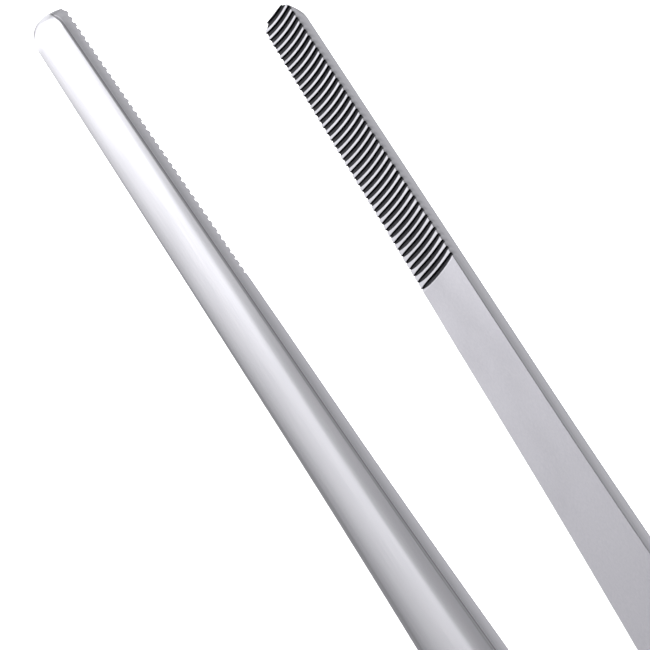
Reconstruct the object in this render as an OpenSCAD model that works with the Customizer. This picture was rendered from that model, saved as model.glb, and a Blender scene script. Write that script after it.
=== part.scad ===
// Straight aquascaping tweezers: two long stainless blades, each bowed at the
// back and toothed at the front, welded together face to face at the tail.
// Frame: +X points from the tail to the tips, the blades open along Y and +Z is
// up. The tweezers lie on the lower edges of their grips. The origin is on that
// surface, in the middle of the overall length and between the two blades.

/* [Overall] */
// Length from the tail end to the tips
length = 270; // [250:1:300]
// Clear opening between the two toothed faces at the tips, relaxed
jaw_opening = 24.8; // [22:0.2:27]
// Angle of each straight front blade away from the middle plane, in degrees
splay_angle = 1.52; // [1.3:0.02:1.9]

/* [Blade width] */
// Width of the tail
tail_w = 7; // [6.4:0.1:8.5]
// Corner radius of the tail's end, seen from the side of a blade
tail_r = 3; // [2:0.1:3.1]
// Width of the grip, where the edges run parallel
grip_w = 9.5; // [9:0.1:11]
// Width that the straight shank would have at the very tip
tip_w = 3.66; // [3.4:0.02:4.4]
// Growth in width for each millimetre back from the tip
shank_taper = 0.0325; // [0.028:0.0005:0.038]
// Corner radius of the nose at the toothed face
nose_r = 1.1; // [0.6:0.1:1.4]
// Length of the rounded corners of the nose at the back
nose_back_len = 2.2; // [1.5:0.1:2.6]
// Width that each rounded corner of the nose takes off at the back
nose_back_w = 1.5; // [1:0.1:1.6]

/* [Blade thickness] */
// Thickness of the spring at its edges
spring_t = 1; // [0.8:0.05:1.3]
// Thickness of the grip and the shank at their edges
blade_t = 1.4; // [1.3:0.05:1.7]
// Radius that rounds the back of the nose
nose_back_r = 0.7; // [0.4:0.1:0.9]

/* [Back] */
// Slope of the bevels along both edges of the back, in degrees
bevel_angle = 24; // [18:1:30]
// Width of each bevel on the tail and the spring
spring_bevel = 0.35; // [0.25:0.05:0.6]
// Width of each bevel on the grip
grip_bevel = 1.15; // [0.8:0.05:1.5]
// Width of each bevel at the tip
tip_bevel = 0.35; // [0.1:0.05:0.5]
// Height of the gentle arc between the bevels
back_arc = 0.14; // [0.05:0.01:0.25]

/* [Stations along the blade] */
// Length of the flat tail faces that are welded together
weld_len = 14; // [12:1:18]
// Distance from the tail end at which the spring stops bending
spring_end = 60; // [55:1:64]
// Distance from the tail end at which the bow turns into the straight blade
bow_end = 75; // [70:1:78]
// Distance from the tail end at which the parallel grip starts
grip_start = 62; // [60:1:66]
// Distance from the tail end at which the parallel grip stops
grip_end = 155; // [140:1:160]
// Length of the evenly tapered shank behind the tips
shank_len = 42; // [38:1:60]

/* [Teeth] */
// Number of cross grooves in each toothed face
tooth_count = 42; // [20:1:44]
// Distance from one groove to the next
tooth_pitch = 0.665; // [0.6:0.005:0.7]
// Width of a groove at the surface
groove_w = 0.44; // [0.36:0.02:0.48]
// Width of a groove at its floor
groove_floor = 0.32; // [0.2:0.02:0.34]
// Depth of a groove in the middle of the blade
groove_depth = 0.2; // [0.18:0.02:0.3]
// Distance from the tip to the middle of the first groove
first_groove = 0.36; // [0.2:0.02:0.5]
// How far the toothed face falls away at its edges, at the tip
tip_fall = 0.03; // [0.02:0.01:0.12]
// How far the toothed face falls away at its edges, at the last groove
last_fall = 0.15; // [0.1:0.01:0.16]

/* [Grip ridges] */
// Number of cross grooves in the back of each grip
ridge_count = 25; // [10:1:26]
// Distance from one grip groove to the next
ridge_pitch = 2; // [1.6:0.1:2]
// Radius of the round cutter that makes a grip groove
ridge_r = 0.7; // [0.5:0.05:0.8]
// Depth of a grip groove in the middle of the blade
ridge_depth = 0.3; // [0.1:0.05:0.35]
// Distance from the tail end to the first grip groove
ridge_start = 82; // [80:1:86]

/* [Hidden] */

mid_z = grip_w / 2;
splay = tan(splay_angle);
shank_start = length - shank_len;
teeth_len = first_groove + (tooth_count - 0.5) * tooth_pitch;
fade_len = 6;
thicken_len = 30;
bevel_growth = 75;
cut = 1;
back_n = 16;
end_steps = 6;

// Smooth step from 0 to 1 as x goes from a to b
function ease(x, a, b) = let (s = min(max((x - a) / (b - a), 0), 1)) s * s * (3 - 2 * s);

// Cubic from value p with slope m at a, to value q with slope n at b
function cubic(x, a, b, p, q, m, n) =
    let (s = (x - a) / (b - a), d = b - a)
    p * (1 + 2 * s) * pow(1 - s, 2) + q * s * s * (3 - 2 * s)
    + m * d * s * pow(1 - s, 2) - n * d * s * s * (1 - s);

// Distance of the blade's inner face from the middle plane
function straight_y(x) = jaw_opening / 2 - splay * (length - x);
function inner_y(x) =
    x <= weld_len ? 0
    : x < bow_end ? cubic(x, weld_len, bow_end, 0, straight_y(bow_end), 0, splay)
    : straight_y(x);

// Width of the blade, without the rounded ends
function shank_w(x) = tip_w + shank_taper * (length - x);
function plain_w(x) =
    x < grip_start ? tail_w + (grip_w - tail_w) * ease(x, weld_len, grip_start)
    : x < grip_end ? grip_w
    : x < shank_start ? cubic(x, grip_end, shank_start, grip_w, shank_w(shank_start), 0, -shank_taper)
    : shank_w(x);

// How much an elliptical corner, len long and w wide, takes off at distance d from the end
function corner(d, len, w) = d < len ? w * (1 - sqrt(max(1 - pow(1 - d / len, 2), 0))) : 0;
function half_w(x, nose_len, nose_w) =
    plain_w(x) / 2 - corner(x, tail_r, tail_r) - corner(length - x, nose_len, nose_w);
function face_half(x) = half_w(x, nose_r, nose_r);
function back_half(x) = half_w(x, nose_back_len, nose_back_w);

// Thickness at the edge, and width of the bevels along the back
function edge_t(x) = spring_t + (blade_t - spring_t) * ease(x, spring_end, spring_end + thicken_len);
function arm_bevel(x) = tip_bevel + (grip_bevel - tip_bevel) * ease(length - x, 0, bevel_growth);
function bevel_w(x) =
    spring_bevel + (arm_bevel(x) - spring_bevel) * ease(x, spring_end, spring_end + thicken_len);

// Fall of the inner face at its edges, which only the toothed length has
function inner_fall(x) =
    let (d = length - x, grow = min(d / teeth_len, 1))
    (tip_fall + (last_fall - tip_fall) * grow) * (1 - ease(d, teeth_len, teeth_len + fade_len));

// Height of the back above its edges at the place u across: bevels, and an arc between them
function back_rise(x, u) =
    let (half = back_half(x), inner = max(half - bevel_w(x), 0.1), across = abs(u) * half / inner)
    tan(bevel_angle) * min((1 - abs(u)) * half, half - inner) + back_arc * max(1 - across * across, 0);
function back_y(x, u) =
    inner_y(x) + edge_t(x) + back_rise(x, u) - corner(length - x, nose_back_r, nose_back_r);

// One cross-section as [y, z] points: the back from its lower to its upper edge, then the inner face
function section(x, face_n) = concat(
    [for (i = [0 : back_n]) let (u = sin(90 * (2 * i / back_n - 1))) [back_y(x, u), u * back_half(x)]],
    [for (i = [0 : face_n]) let (u = 1 - 2 * i / face_n)
        [inner_y(x) + inner_fall(x) * u * u, u * face_half(x)]]);

// Closed skin through the cross-sections at the stations xs, whose inner face
// is made of face_n strips
module blade(xs, face_n) {
    m = back_n + face_n + 2;
    points = [for (x = xs) for (p = section(x, face_n)) [x - length / 2, p[0], mid_z + p[1]]];
    sides = [for (k = [0 : len(xs) - 2]) for (i = [0 : m - 1])
        let (a = k * m + i, b = k * m + (i + 1) % m)
        for (f = [[a, b + m, b], [a, a + m, b + m]]) f];
    first_cap = [for (i = [0 : m - 1]) i];
    last_cap = [for (i = [m - 1 : -1 : 0]) (len(xs) - 1) * m + i];
    polyhedron(points, concat([first_cap], sides, [last_cap]), convexity = 6);
}

// Distances that are evenly spaced, and ones that crowd together on a round end
function spaced(a, b, n) = [for (i = [0 : n]) a + (b - a) * i / n];
function round_end(r) = [for (i = [0 : end_steps]) r * (1 - cos(90 * i / end_steps))];

module tail_blade() blade(concat(round_end(tail_r), [weld_len]), 1);

module spring_blade() blade(spaced(weld_len, spring_end, 12), 1);

module arm_blade() {
    nose = round_end(nose_back_len);
    blade(concat(
        spaced(spring_end, bow_end, 4), spaced(bow_end + 5, spring_end + thicken_len, 2),
        [grip_end - 20], spaced(grip_end, shank_start, 6),
        spaced(length - teeth_len - fade_len, length - teeth_len, 2),
        [length - teeth_len / 2, length - 2 * nose_back_len],
        [for (i = [end_steps : -1 : 0]) length - nose[i]]), 4);
}

// Groove across the toothed face, with sloping walls and a flat floor
module tooth_groove(x) {
    floor_half = groove_floor / 2;
    top_half = groove_w / 2 + (groove_w / 2 - floor_half) * cut / groove_depth;
    translate([x - length / 2, inner_y(x), 0]) rotate([0, 0, splay_angle]) linear_extrude(grip_w)
        polygon([
            [-floor_half, groove_depth], [-top_half, -cut],
            [top_half, -cut], [floor_half, groove_depth]
        ]);
}

module ridge_groove(x) {
    translate([x - length / 2, back_y(x, 0) + ridge_r - ridge_depth, -cut])
        cylinder(h = grip_w + 2 * cut, r = ridge_r, $fn = 32);
}

// shift moves the teeth along, so that the teeth of one arm meet the grooves of the other
module arm(shift) {
    difference() {
        arm_blade();
        for (i = [0 : tooth_count - 1]) tooth_groove(length - first_groove - shift - i * tooth_pitch);
        for (i = [0 : ridge_count - 1]) ridge_groove(ridge_start + i * ridge_pitch);
    }
}

module left_tail() { color("lightgray") tail_blade(); }
module left_spring() { color("silver") spring_blade(); }
module left_arm() { color("gainsboro") arm(tooth_pitch / 2); }
module right_tail() { color("lightgray") mirror([0, 1, 0]) tail_blade(); }
module right_spring() { color("silver") mirror([0, 1, 0]) spring_blade(); }
module right_arm() { color("gainsboro") mirror([0, 1, 0]) arm(0); }

left_tail();
left_spring();
left_arm();
right_tail();
right_spring();
right_arm();
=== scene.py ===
import math

import bpy
import numpy as np
from mathutils import Matrix, Vector


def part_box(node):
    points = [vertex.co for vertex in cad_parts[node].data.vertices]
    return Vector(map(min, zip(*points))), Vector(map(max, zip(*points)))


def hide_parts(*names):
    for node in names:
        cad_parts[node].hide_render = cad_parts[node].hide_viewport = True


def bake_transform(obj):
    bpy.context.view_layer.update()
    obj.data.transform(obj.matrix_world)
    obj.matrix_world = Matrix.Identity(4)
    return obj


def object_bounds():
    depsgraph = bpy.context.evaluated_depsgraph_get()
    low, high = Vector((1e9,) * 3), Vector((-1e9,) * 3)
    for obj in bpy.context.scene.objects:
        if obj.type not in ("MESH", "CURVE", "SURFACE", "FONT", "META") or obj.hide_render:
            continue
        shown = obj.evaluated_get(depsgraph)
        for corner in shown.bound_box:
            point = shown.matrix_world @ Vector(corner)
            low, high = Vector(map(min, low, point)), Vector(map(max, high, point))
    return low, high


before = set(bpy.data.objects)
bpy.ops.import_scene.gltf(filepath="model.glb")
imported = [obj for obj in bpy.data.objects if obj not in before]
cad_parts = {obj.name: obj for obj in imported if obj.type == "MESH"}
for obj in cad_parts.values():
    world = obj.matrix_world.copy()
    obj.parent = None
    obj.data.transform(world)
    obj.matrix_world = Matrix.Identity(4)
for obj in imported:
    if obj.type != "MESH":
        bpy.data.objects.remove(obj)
CAD_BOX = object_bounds()

# ---------------------------------------------------------------- frame
# The blades run along X from the tail to the tips. All lengths are in metres.
MM = 0.001
TAIL_X = CAD_BOX[0].x
TIP_X = CAD_BOX[1].x
WELD_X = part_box("left_tail")[1].x
SPRING_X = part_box("left_spring")[1].x
GRIP_W = CAD_BOX[1].z - CAD_BOX[0].z
MID_Z = CAD_BOX[0].z + GRIP_W / 2
TAIL_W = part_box("left_tail")[1].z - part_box("left_tail")[0].z

# ---------------------------------------------------------------- blade shape
JAW_OPENING = 24.8 * MM
SPLAY = math.tan(math.radians(1.52))
BOW_END_X = TAIL_X + 75 * MM
GRIP_START_X = TAIL_X + 62 * MM
GRIP_END_X = TAIL_X + 155 * MM
SHANK_X = TIP_X - 42 * MM
TIP_W = 3.66 * MM
SHANK_TAPER = 0.0325
TAIL_R = 3 * MM
SPRING_T = 1.0 * MM
BLADE_T = 1.4 * MM
THICKEN = 30 * MM
# Broken edge beside the toothed face, and rounded edge beside the back
EDGE_BREAK = 0.04 * MM
EDGE_R = 0.14 * MM

# Corners of the nose as (length, width): at the toothed face, and at the back
FACE_CORNER = (1.0 * MM, 0.95 * MM)
BACK_CORNER = (2.2 * MM, 1.5 * MM)
NOSE_BACK_R = 0.7 * MM
NOSE_FACE_R = 0.1 * MM

# The back is a gentle arc between two bevels that widen from the tip backwards. The
# bevels' values are given at the spring, at the tip and at the grip. No bevel takes more
# than WIDEST_BEVEL of half the width, and the arc goes on level beyond ARC_END.
UPPER_BEVEL = (0.5 * MM, 0.5 * MM, 1.5 * MM)
LOWER_BEVEL = (0.3 * MM, 0.1 * MM, 0.85 * MM)
BEVEL_HEIGHT = (0.155 * MM, 0.15 * MM, 0.512 * MM)
BEVEL_GROWTH = 75 * MM
BACK_ARC = 0.14 * MM
BACK_BLEND = 0.045 * MM
WIDEST_BEVEL = 0.8
ARC_END = 1.6
SIDE_CAMBER = 0.05 * MM

# ---------------------------------------------------------------- teeth
TEETH = 42
TOOTH_PITCH = 0.665 * MM
GROOVE_HALF = 0.22 * MM
FLOOR_HALF = 0.16 * MM
GROOVE_DEPTH = 0.2 * MM
FIRST_GROOVE = 0.36 * MM
TEETH_LEN = FIRST_GROOVE + (TEETH - 0.5) * TOOTH_PITCH
# Broken lip of each groove: its width, and how far it drops
LIP = 0.02 * MM
LIP_DROP = 0.014 * MM
# How far the face falls at its lower edge, at the tip and at the last groove, and the
# length over which the fall fades out behind the teeth
TIP_FALL = 0.02 * MM
LAST_FALL = 0.06 * MM
FALL_FADE = 6 * MM
# How far the ends of the grooves lie towards the tip, the share of the last groove's
# width that is lost at its lower end, and the upper edge's share of fall and loss
GROOVE_ARC = 0.17 * MM
LAST_TAPER = 0.8
UPPER_SHARE = 0.4

# ---------------------------------------------------------------- grip ridges
# Each ridge groove is cut by a round cutter that lies along Z. RIDGE_REACH keeps the rows
# of a groove apart where the cutter doesn't reach the back.
RIDGES = 25
RIDGE_PITCH = 2 * MM
RIDGE_START_X = TAIL_X + 82 * MM
RIDGE_R = 0.7 * MM
RIDGE_DEPTH = 0.3 * MM
RIDGE_REACH = 0.995
RIDGE_BLEND = 0.02 * MM

# ---------------------------------------------------------------- mesh
# Columns across each face of the blade, and rows along it. The rows over a grip groove
# are at shares of its half width.
FACE_COLS = 15
SIDE_COLS = 6
BACK_COLS = 41
ROW_STEP = 1.6 * MM
END_ROWS = 10
RIDGE_MARKS = (-1.06, -0.94, -0.66, -0.33, 0, 0.33, 0.66, 0.94, 1.06)
SHARP_ANGLE = math.radians(32)

# Finishes, in the order of the blade's material slots. WALL and FLOOR colour the tooth grooves near
# black, which is painted shade.
POLISHED, BRUSHED, SATIN, LAND, WALL, FLOOR = range(6)


def ease(x, a, b):
    """Smooth step from 0 to 1 as x goes from a to b."""
    s = np.clip((x - a) / (b - a), 0, 1)
    return s * s * (3 - 2 * s)


def cubic(x, a, b, p, q, m, n):
    """Cubic from value p with slope m at a, to value q with slope n at b."""
    s, d = (x - a) / (b - a), b - a
    value = p * (1 + 2 * s) * (1 - s) ** 2 + q * s * s * (3 - 2 * s)
    return value + m * d * s * (1 - s) ** 2 - n * d * s * s * (1 - s)


def corner(d, length, width):
    """What an elliptical corner takes off at distance d from the end."""
    inside = np.clip(1 - d / length, 0, 1)
    return width * (1 - np.sqrt(1 - inside * inside))


def soft_min(a, b, k):
    """The lower of a and b, with a rounded corner of size k."""
    return (a + b) / 2 - np.sqrt((a - b) ** 2 / 4 + k * k)


def straight_y(x):
    """Distance of a straight blade's inner face from the middle plane."""
    return JAW_OPENING / 2 - SPLAY * (TIP_X - x)


def inner_y(x):
    """Distance of the bowed blade's inner face from the middle plane."""
    bow = cubic(x, WELD_X, BOW_END_X, 0, straight_y(BOW_END_X), 0, SPLAY)
    return np.where(x <= WELD_X, 0, np.where(x < BOW_END_X, bow, straight_y(x)))


def shank_w(x):
    """Width of the evenly tapered shank."""
    return TIP_W + SHANK_TAPER * (TIP_X - x)


def half_width(x, depth):
    """Half the width along Z at the face (depth 0), at the back (depth 1) or between."""
    grown = TAIL_W + (GRIP_W - TAIL_W) * ease(x, WELD_X, GRIP_START_X)
    shoulder = cubic(x, GRIP_END_X, SHANK_X, GRIP_W, shank_w(SHANK_X), 0, -SHANK_TAPER)
    front = np.where(x < SHANK_X, shoulder, shank_w(x))
    width = np.where(x < GRIP_START_X, grown, np.where(x < GRIP_END_X, GRIP_W, front))
    d = TIP_X - x
    nose = corner(d, *FACE_CORNER) * (1 - depth) + corner(d, *BACK_CORNER) * depth
    return width / 2 - corner(x - TAIL_X, TAIL_R, TAIL_R) - nose


def edge_t(x):
    """Thickness of the blade at its edges."""
    return SPRING_T + (BLADE_T - SPRING_T) * ease(x, SPRING_X, SPRING_X + THICKEN)


def along_blade(x, spring, tip, grip):
    """A value of the back's shape, which grows from the tip to the grip."""
    front = tip + (grip - tip) * ease(TIP_X - x, 0, BEVEL_GROWTH)
    return spring + (front - spring) * ease(x, SPRING_X, SPRING_X + THICKEN)


def back_rise(x, u):
    """Height of the back above its edges, at the place u across."""
    half = half_width(x, 1)
    height = along_blade(x, *BEVEL_HEIGHT)
    upper = np.minimum(along_blade(x, *UPPER_BEVEL), half * WIDEST_BEVEL)
    lower = np.minimum(along_blade(x, *LOWER_BEVEL), half * WIDEST_BEVEL)
    low_edge, high_edge = (1 + u) * half, (1 - u) * half
    middle, reach = (lower - upper) / 2, half - (upper + lower) / 2
    across = np.clip((u * half - middle) / reach, -ARC_END, ARC_END)
    bevels = np.minimum(high_edge * height / upper, low_edge * height / lower)
    rounded = soft_min(bevels, height + BACK_ARC * (1 - across ** 2), BACK_BLEND)
    return rounded - corner(np.minimum(low_edge, high_edge), EDGE_R, EDGE_R)


def toothed(x):
    """1 over the toothed length, fading to 0 behind it."""
    return 1 - ease(TIP_X - x, TEETH_LEN, TEETH_LEN + FALL_FADE)


def upper_share(u):
    """The share of a fall or a loss that is found at the place u across."""
    return UPPER_SHARE if u > 0 else 1


def face_fall(x, u):
    """How far the toothed face falls away towards its edges."""
    grow = np.clip((TIP_X - x) / TEETH_LEN, 0, 1)
    fall = (TIP_FALL + (LAST_FALL - TIP_FALL) * grow) * toothed(x)
    return fall * u * u * upper_share(u)


# ---------------------------------------------------------------- rows along the blade
# A row is a station x, a pattern, a side of the pattern and a step on it. The steps of
# a tooth groove are the outer edge of its lip, the inner edge and the edge of its floor.
# The sides of a ridge groove are shares of its half width.
PLAIN, TOOTH, RIDGE = range(3)
OUTER, INNER, BOTTOM = range(3)


def plain_rows(a, b):
    """Evenly spaced rows from a to b, without the last."""
    count = max(1, round((b - a) / ROW_STEP))
    return [(a + (b - a) * i / count, PLAIN, 0, 0) for i in range(count)]


def round_rows(end, length, inwards):
    """Rows that crowd together on a round end, from the end inwards."""
    steps = [length * (1 - math.cos(math.pi / 2 * i / END_ROWS)) for i in range(END_ROWS + 1)]
    return [(end + inwards * s, PLAIN, 0, 0) for s in steps]


def tooth_rows(shift):
    """Rows over the toothed length, from the last groove to the first."""
    rows = []
    marks = [(-1, OUTER), (-1, INNER), (-1, BOTTOM), (1, BOTTOM), (1, INNER), (1, OUTER)]
    for k in reversed(range(TEETH)):
        x = TIP_X - FIRST_GROOVE - shift - k * TOOTH_PITCH
        rows.append((x - TOOTH_PITCH / 2, PLAIN, 0, 0))
        rows += [(x, TOOTH, side, step) for side, step in marks]
    return rows


def ridge_rows():
    """Rows over the grip ridges, from the tail side to the tip side."""
    rows = []
    for k in range(RIDGES):
        x = RIDGE_START_X + k * RIDGE_PITCH
        rows.append((x - RIDGE_PITCH / 2, PLAIN, 0, 0))
        rows += [(x, RIDGE, share, 0) for share in RIDGE_MARKS]
    return rows


def blade_rows(shift):
    """All rows of a blade, from the tail end to the tip."""
    rows = round_rows(TAIL_X, TAIL_R, 1)[:-1]
    rows += plain_rows(TAIL_X + TAIL_R, RIDGE_START_X - RIDGE_PITCH / 2)
    rows += ridge_rows()
    rows += plain_rows(RIDGE_START_X + (RIDGES - 0.5) * RIDGE_PITCH, TIP_X - TEETH_LEN - shift)
    rows += tooth_rows(shift)
    nose = round_rows(TIP_X, FIRST_GROOVE + shift - GROOVE_HALF - LIP, -1)
    return np.array(rows + nose[::-1])


def groove_taper(x, u):
    """Share of a tooth groove's full width at the place u across. Towards the grip the
    grooves narrow at their ends, and more at the lower edge."""
    grow = np.clip((TIP_X - x) / TEETH_LEN, 0, 1) ** 2
    return 1 - LAST_TAPER * grow * u ** 4 * upper_share(u)


def groove_offset(rows, u):
    """Where the rows of a groove are along the blade, from the groove's middle."""
    step = rows[:, 3]
    half = np.where(step == BOTTOM, FLOOR_HALF, GROOVE_HALF) * groove_taper(rows[:, 0], u)
    return rows[:, 2] * (half + np.where(step == OUTER, LIP, 0))


def groove_level(rows, u):
    """Depth of the toothed face below the plain face."""
    land = face_fall(rows[:, 0], u)
    lip = np.minimum(land + np.where(rows[:, 3] == INNER, LIP_DROP, 0), GROOVE_DEPTH)
    grooved = np.where(rows[:, 3] == BOTTOM, GROOVE_DEPTH, lip)
    return np.where(rows[:, 1] == TOOTH, grooved, land)


def groove_arc(x, u):
    """How far the arched grooves lie towards the tip at the place u across."""
    return GROOVE_ARC * u * u * np.clip((TIP_X - x) / FIRST_GROOVE, 0, 1) * toothed(x)


def ridge_offset(rows, u):
    """Where the rows of a ridge groove are along the blade, from its middle."""
    drop = back_rise(rows[:, 0], 0) - back_rise(rows[:, 0], u)
    level = np.clip(RIDGE_R - RIDGE_DEPTH + drop, 0, RIDGE_R * RIDGE_REACH)
    return rows[:, 2] * np.sqrt(RIDGE_R ** 2 - level ** 2)


def row_x(rows, face_u, back_u):
    """The rows' places along the blade in one column."""
    x = rows[:, 0] + groove_arc(rows[:, 0], face_u)
    x = x + np.where(rows[:, 1] == TOOTH, groove_offset(rows, face_u), 0)
    x = x + np.where(rows[:, 1] == RIDGE, ridge_offset(rows, back_u), 0)
    return np.clip(x, TAIL_X, TIP_X)


def back_height(rows, x, u):
    """Height of the back above its edges, with the ridge grooves cut out."""
    top = back_rise(x, u)
    away = np.clip(x - rows[:, 0], -RIDGE_R, RIDGE_R)
    cut = back_rise(rows[:, 0], 0) - RIDGE_DEPTH + RIDGE_R - np.sqrt(RIDGE_R ** 2 - away ** 2)
    return np.where(rows[:, 1] == RIDGE, soft_min(top, cut, RIDGE_BLEND), top)


# ---------------------------------------------------------------- columns round the blade
def columns():
    """The columns round a section, as (part, place) pairs."""
    face = [("face", 1 - 2 * i / (FACE_COLS - 1)) for i in range(FACE_COLS)]
    low = [("low", i / (SIDE_COLS - 1)) for i in range(SIDE_COLS)]
    turns = [2 * i / (BACK_COLS - 1) - 1 for i in range(1, BACK_COLS - 1)]
    back = [("back", math.sin(math.pi / 2 * turn)) for turn in turns]
    high = [("high", 1 - i / (SIDE_COLS - 1)) for i in range(SIDE_COLS)]
    return face + low + back + high


def face_column(rows, u):
    """A column on the toothed face, at the place u across."""
    x = row_x(rows, u, 0)
    y = inner_y(x) + corner(TIP_X - x, NOSE_FACE_R, NOSE_FACE_R) + groove_level(rows, u)
    return x, y, u * (half_width(x, 0) - SIDE_CAMBER - EDGE_BREAK)


def back_column(rows, u):
    """A column on the back, at the place u across."""
    x = row_x(rows, 0, u)
    y = inner_y(x) + edge_t(x) + back_height(rows, x, u) - corner(TIP_X - x, NOSE_BACK_R, NOSE_BACK_R)
    return x, y, u * (half_width(x, 1) - SIDE_CAMBER)


def side_column(rows, side, share):
    """A column on an edge of the blade, at a share of the way from the face to the back."""
    near_x, near_y, _ = face_column(rows, side)
    far_x, far_y, _ = back_column(rows, side)
    near_y = near_y + EDGE_BREAK
    x = near_x + (far_x - near_x) * share
    y = near_y + (np.maximum(far_y, near_y + EDGE_BREAK) - near_y) * share
    return x, y, side * (half_width(x, share) - SIDE_CAMBER * (2 * share - 1) ** 2)


def column_points(rows, part, place):
    """The points of one column, as x, y and z."""
    if part == "face":
        return face_column(rows, place)
    if part == "back":
        return back_column(rows, place)
    return side_column(rows, 1 if part == "high" else -1, place)


def strip_finish(rows):
    """The finish of the toothed face between each row and the next. The grooves' walls and floors get
    painted shade.
    """
    here, after = rows[:-1], rows[1:]
    finish = np.where((here[:, 1] == TOOTH) | (after[:, 1] == TOOTH), LAND, SATIN)
    higher = np.minimum(here[:, 3], after[:, 3])
    lower = np.maximum(here[:, 3], after[:, 3])
    finish[(higher == INNER) & (lower == BOTTOM)] = WALL
    finish[higher == BOTTOM] = FLOOR
    return finish


def part_finish(part, following, strip):
    """The finish between two neighbouring columns, with the toothed face's own finish given."""
    if "back" in (part, following):
        return POLISHED
    return int(strip) if part == following == "face" else BRUSHED


def skin(rows, parts, mirror):
    """Faces and their finishes: rows along the blade, columns round it, and two ends."""
    count, faces, finish = len(parts), [], []
    strips = strip_finish(rows)
    for r in range(len(rows) - 1):
        for c in range(count):
            d = (c + 1) % count
            quad = (r * count + c, r * count + d, (r + 1) * count + d, (r + 1) * count + c)
            faces.append(quad if mirror > 0 else quad[::-1])
            finish.append(part_finish(parts[c], parts[d], strips[r]))
    for ring, turn in ((0, 1), (len(rows) - 1, -1)):
        middle = len(rows) * count + (0 if turn > 0 else 1)
        for c in range(count):
            tri = (ring * count + c, middle, ring * count + (c + 1) % count)
            faces.append(tri if turn * mirror > 0 else tri[::-1])
            finish.append(BRUSHED)
    return faces, finish


def blade_mesh(name, mirror, shift):
    """A whole blade as one closed mesh."""
    rows = blade_rows(shift)
    cols = columns()
    grid = np.stack([np.stack(column_points(rows, part, place), -1) for part, place in cols], 1)
    grid = grid * (1, mirror, 1) + (0, 0, MID_Z)
    verts = np.concatenate([grid.reshape(-1, 3), grid[[0, -1]].mean(axis=1)])
    faces, finish = skin(rows, [part for part, _ in cols], mirror)
    mesh = bpy.data.meshes.new(name)
    mesh.from_pydata(verts.tolist(), [], faces)
    mesh.polygons.foreach_set("material_index", finish)
    mesh.polygons.foreach_set("use_smooth", [True] * len(faces))
    mesh.update()
    mesh.set_sharp_from_angle(angle=SHARP_ANGLE)
    piece = bpy.data.objects.new(name, mesh)
    bpy.context.scene.collection.objects.link(piece)
    return piece


# ---------------------------------------------------------------- materials
NOISE_RANGE = (0.3, 0.7)


def new_material(name, roughness, metallic=1.0):
    """A Principled material, its node tree and its shader."""
    material = bpy.data.materials.new(name)
    material.use_nodes = True
    shader = material.node_tree.nodes["Principled BSDF"]
    shader.inputs["Roughness"].default_value = roughness
    shader.inputs["Metallic"].default_value = metallic
    return material, material.node_tree, shader


def stretched_noise(tree, scale, detail):
    """Noise in the object's own space. The scale is in waves per metre along each axis."""
    coords = tree.nodes.new("ShaderNodeTexCoord")
    mapping = tree.nodes.new("ShaderNodeMapping")
    mapping.inputs["Scale"].default_value = scale
    noise = tree.nodes.new("ShaderNodeTexNoise")
    noise.inputs["Scale"].default_value = 1.0
    noise.inputs["Detail"].default_value = detail
    tree.links.new(coords.outputs["Object"], mapping.inputs["Vector"])
    tree.links.new(mapping.outputs["Vector"], noise.inputs["Vector"])
    return noise.outputs["Fac"]


def ranged(tree, source, given, wanted):
    """Maps source from the range given to the range wanted, without going outside."""
    node = tree.nodes.new("ShaderNodeMapRange")
    node.inputs["From Min"].default_value, node.inputs["From Max"].default_value = given
    node.inputs["To Min"].default_value, node.inputs["To Max"].default_value = wanted
    tree.links.new(source, node.inputs["Value"])
    return node.outputs["Result"]


def spread(tree, source, low, high):
    """Maps noise from its usual middle range to low..high."""
    return ranged(tree, source, NOISE_RANGE, (low, high))


def tint(tree, shader, source, dark, light):
    """Base colour between dark and light by a noise value."""
    mix = tree.nodes.new("ShaderNodeMix")
    mix.data_type = "RGBA"
    mix.inputs["A"].default_value = (*dark, 1)
    mix.inputs["B"].default_value = (*light, 1)
    tree.links.new(spread(tree, source, 0, 1), mix.inputs["Factor"])
    tree.links.new(mix.outputs["Result"], shader.inputs["Base Color"])


def bump(tree, shader, source, height):
    """A fine relief from a noise value. The height is in metres."""
    node = tree.nodes.new("ShaderNodeBump")
    node.inputs["Distance"].default_value = height
    tree.links.new(source, node.inputs["Height"])
    tree.links.new(node.outputs["Normal"], shader.inputs["Normal"])


def polished_steel():
    """Polished back with faint lengthwise polishing lines and soft clouds."""
    material, tree, shader = new_material("polished_steel", 0.145)
    lines = stretched_noise(tree, (60, 9000, 9000), 6)
    clouds = stretched_noise(tree, (90, 400, 400), 3)
    tree.links.new(spread(tree, clouds, 0.12, 0.17), shader.inputs["Roughness"])
    tint(tree, shader, lines, (0.79, 0.795, 0.82), (0.84, 0.84, 0.86))
    return material


def brushed_steel():
    """Edges ground lengthwise, with visible lines."""
    material, tree, shader = new_material("brushed_steel", 0.34)
    lines = stretched_noise(tree, (150, 14000, 14000), 5)
    tree.links.new(spread(tree, lines, 0.28, 0.42), shader.inputs["Roughness"])
    tint(tree, shader, lines, (0.58, 0.585, 0.61), (0.7, 0.7, 0.72))
    bump(tree, shader, lines, 0.000004)
    return material


def satin_steel(name, dark, light):
    """Inner faces with a fine, even satin grain."""
    material, tree, shader = new_material(name, 0.3)
    grain = stretched_noise(tree, (4000, 9000, 9000), 4)
    clouds = stretched_noise(tree, (120, 500, 300), 3)
    tree.links.new(spread(tree, clouds, 0.27, 0.34), shader.inputs["Roughness"])
    tint(tree, shader, grain, dark, light)
    return material


def painted_groove_shade(name, metallic, dark, light):
    """Rough-cut steel in the tooth grooves, its colour painted near black as painted shade."""
    material, tree, shader = new_material(name, 0.45, metallic)
    grain = stretched_noise(tree, (12000, 12000, 3000), 4)
    tree.links.new(spread(tree, grain, 0.38, 0.55), shader.inputs["Roughness"])
    tint(tree, shader, grain, dark, light)
    return material


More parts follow.
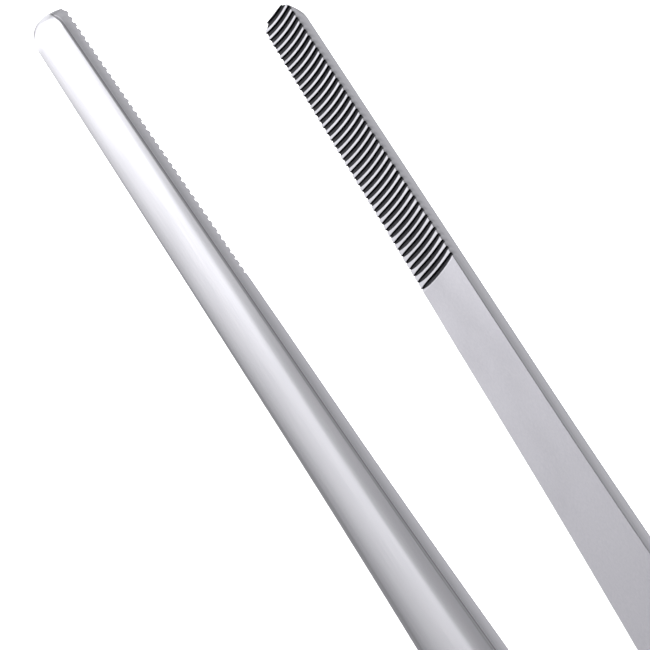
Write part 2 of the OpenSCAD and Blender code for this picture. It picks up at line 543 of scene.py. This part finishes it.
def floor_material():
    """Matt white studio floor with a barely visible mottling."""
    material, tree, shader = new_material("floor_white", 0.9, 0.0)
    tint(tree, shader, stretched_noise(tree, (3, 3, 3), 2), (0.9, 0.9, 0.9), (0.92, 0.92, 0.92))
    return material


# ---------------------------------------------------------------- pieces
def make_blades():
    """Both blades. The grooves of the left one are half a pitch further back."""
    finishes = [
        polished_steel(), brushed_steel(),
        satin_steel("satin_steel", (0.433, 0.432, 0.453), (0.474, 0.471, 0.49)),
        satin_steel("tooth_steel", (0.52, 0.52, 0.545), (0.57, 0.57, 0.59)),
        # Painted shade: the walls and floors of the tooth grooves are coloured near black.
        painted_groove_shade("groove_wall_painted_shade", 1, (0.008, 0.008, 0.01), (0.02, 0.02, 0.024)),
        painted_groove_shade("groove_floor", 0.2, (0.01, 0.01, 0.013), (0.028, 0.028, 0.034)),
    ]
    for side, mirror, shift in (("left", 1, TOOTH_PITCH / 2), ("right", -1, 0)):
        blade = blade_mesh(side + "_blade", mirror, shift)
        for finish in finishes:
            blade.data.materials.append(finish)
        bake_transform(blade)
        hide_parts(side + "_tail", side + "_spring", side + "_arm")


# ---------------------------------------------------------------- studio
AIM = Vector((TIP_X - 0.029425, 0, CAD_BOX[0].z + 0.001544))
CAMERA_AZIMUTH = 209.68
CAMERA_ELEVATION = 33.87
CAMERA_ROLL = 39.65
CAMERA_DISTANCE = 0.42673
CAMERA_LENS = 303.7
FLOOR_SIZE = 8.0
FLOOR_GAP = 0.1 * MM
LIGHT_DISTANCE = 1.3
LIGHT_SIZE = 1.2
LIGHT_POWER = 34


def direction(azimuth, elevation):
    """Unit vector from the object towards a camera or light. Azimuth 0 looks along +Y."""
    a, e = math.radians(azimuth), math.radians(elevation)
    return Vector((math.sin(a) * math.cos(e), -math.cos(a) * math.cos(e), math.sin(e)))


def make_floor():
    """A plain floor just below the tweezers, which the steel doesn't mirror."""
    mesh = bpy.data.meshes.new("floor")
    signs = [(-1, -1), (1, -1), (1, 1), (-1, 1)]
    corners = [(FLOOR_SIZE * x, FLOOR_SIZE * y, 0) for x, y in signs]
    mesh.from_pydata(corners, [], [(0, 1, 2, 3)])
    floor = bpy.data.objects.new("floor", mesh)
    floor.data.materials.append(floor_material())
    floor.location.z = CAD_BOX[0].z - FLOOR_GAP
    floor.visible_glossy = False
    bpy.context.scene.collection.objects.link(floor)


def area_light(name, azimuth, elevation):
    """A soft square light, which the steel doesn't mirror."""
    light = bpy.data.lights.new(name, "AREA")
    light.shape = "SQUARE"
    light.size = LIGHT_SIZE
    light.energy = LIGHT_POWER
    lamp = bpy.data.objects.new(name, light)
    towards = direction(azimuth, elevation)
    lamp.location = AIM + towards * LIGHT_DISTANCE
    lamp.rotation_mode = "QUATERNION"
    lamp.rotation_quaternion = towards.to_track_quat("Z", "Y")
    lamp.visible_camera = False
    lamp.visible_glossy = False
    bpy.context.scene.collection.objects.link(lamp)


def make_lights():
    """Two lights from opposite sides, so that the shadows on the floor stay faint."""
    area_light("key", 120, 55)
    area_light("fill", 290, 50)


# Colour of the surroundings, and their brightness by the height of the direction, from
# straight down to straight up.
SKY_TONE = (0.975, 0.966, 1)
SURROUNDINGS = [
    (-1.0, 0.32), (-0.93, 0.3), (-0.84, 0.43), (-0.745, 0.51), (-0.63, 0.79), (-0.52, 0.94),
    (-0.42, 1.08), (-0.27, 1.13), (-0.2, 1.12), (-0.14, 0.7), (-0.07, 0.62), (0.0, 0.46),
    (0.15, 0.2), (0.3, 0.85), (0.42, 1.0), (0.55, 0.6), (0.7, 0.5), (0.85, 0.34), (1.0, 0.22),
]
# Gain of the panel on the +Y side, by how far the direction leans towards the tips. The
# panel fades in between two values of Y.
PANEL_EDGE = (-0.2, 0.3)
PANEL = [
    (0.26, 0.52), (0.3, 0.63), (0.33, 0.76), (0.36, 0.85), (0.39, 0.87), (0.415, 0.94),
    (0.435, 1.55), (0.46, 2.6), (0.5, 3.4), (0.6, 1.6), (0.72, 1.0),
]
# The gain of the upper half of the +Y side, which takes over between two heights.
DARK_UPPER = 0.5
UPPER_EDGE = (0.0, 0.12)


def stepped(tree, source, stops, tone=(1, 1, 1)):
    """A ramp through (place, value) stops. The values come out as shares of the largest,
    which is given back too."""
    low, high = stops[0][0], stops[-1][0]
    place = ranged(tree, source, (low, high), (0, 1))
    ramp = tree.nodes.new("ShaderNodeValToRGB")
    tree.links.new(place, ramp.inputs["Fac"])
    largest = max(value for _, value in stops)
    elements = ramp.color_ramp.elements
    for number, (at, value) in enumerate(stops):
        element = elements[number] if number < 2 else elements.new(1.0)
        element.position = (at - low) / (high - low)
        element.color = (*(value / largest * c for c in tone), 1)
    return ramp.outputs["Color"], largest


def mixed(tree, factor, a, b):
    """Mixes a into b by factor. Both are either numbers or sockets."""
    node = tree.nodes.new("ShaderNodeMix")
    tree.links.new(factor, node.inputs["Factor"])
    for name, value in (("A", a), ("B", b)):
        if isinstance(value, float):
            node.inputs[name].default_value = value
        else:
            tree.links.new(value, node.inputs[name])
    return node.outputs["Result"]


def make_world():
    """Studio surroundings, with a panel on the +Y side that is brightest beyond the tips."""
    world = bpy.data.worlds.new("studio")
    bpy.context.scene.world = world
    world.use_nodes = True
    tree = world.node_tree
    coords = tree.nodes.new("ShaderNodeTexCoord")
    split = tree.nodes.new("ShaderNodeSeparateXYZ")
    tree.links.new(coords.outputs["Generated"], split.inputs["Vector"])
    sky, sky_top = stepped(tree, split.outputs["Z"], SURROUNDINGS, SKY_TONE)
    panel, panel_top = stepped(tree, split.outputs["X"], PANEL)
    above = ranged(tree, split.outputs["Z"], UPPER_EDGE, (0.0, 1.0))
    beyond = ranged(tree, split.outputs["Y"], PANEL_EDGE, (0.0, 1.0))
    upper = mixed(tree, above, panel, DARK_UPPER / panel_top)
    gain = mixed(tree, beyond, 1 / panel_top, upper)
    strength = tree.nodes.new("ShaderNodeMath")
    strength.operation = "MULTIPLY"
    strength.inputs[1].default_value = sky_top * panel_top
    background = tree.nodes["Background"]
    tree.links.new(gain, strength.inputs[0])
    tree.links.new(sky, background.inputs["Color"])
    tree.links.new(strength.outputs["Value"], background.inputs["Strength"])


def make_camera():
    """A long lens that looks down on the tips from the left blade's side and from behind."""
    data = bpy.data.cameras.new("camera")
    data.lens = CAMERA_LENS
    data.sensor_width = 36
    data.clip_start, data.clip_end = 0.01, 50
    camera = bpy.data.objects.new("camera", data)
    towards = direction(CAMERA_AZIMUTH, CAMERA_ELEVATION)
    aim = towards.to_track_quat("Z", "Y").to_matrix().to_4x4()
    roll = Matrix.Rotation(math.radians(CAMERA_ROLL), 4, "Z")
    camera.matrix_world = Matrix.Translation(AIM + towards * CAMERA_DISTANCE) @ aim @ roll
    bpy.context.scene.collection.objects.link(camera)
    bpy.context.scene.camera = camera


bpy.context.scene.view_settings.view_transform = "Standard"
make_blades()
make_floor()
make_lights()
make_world()
make_camera()
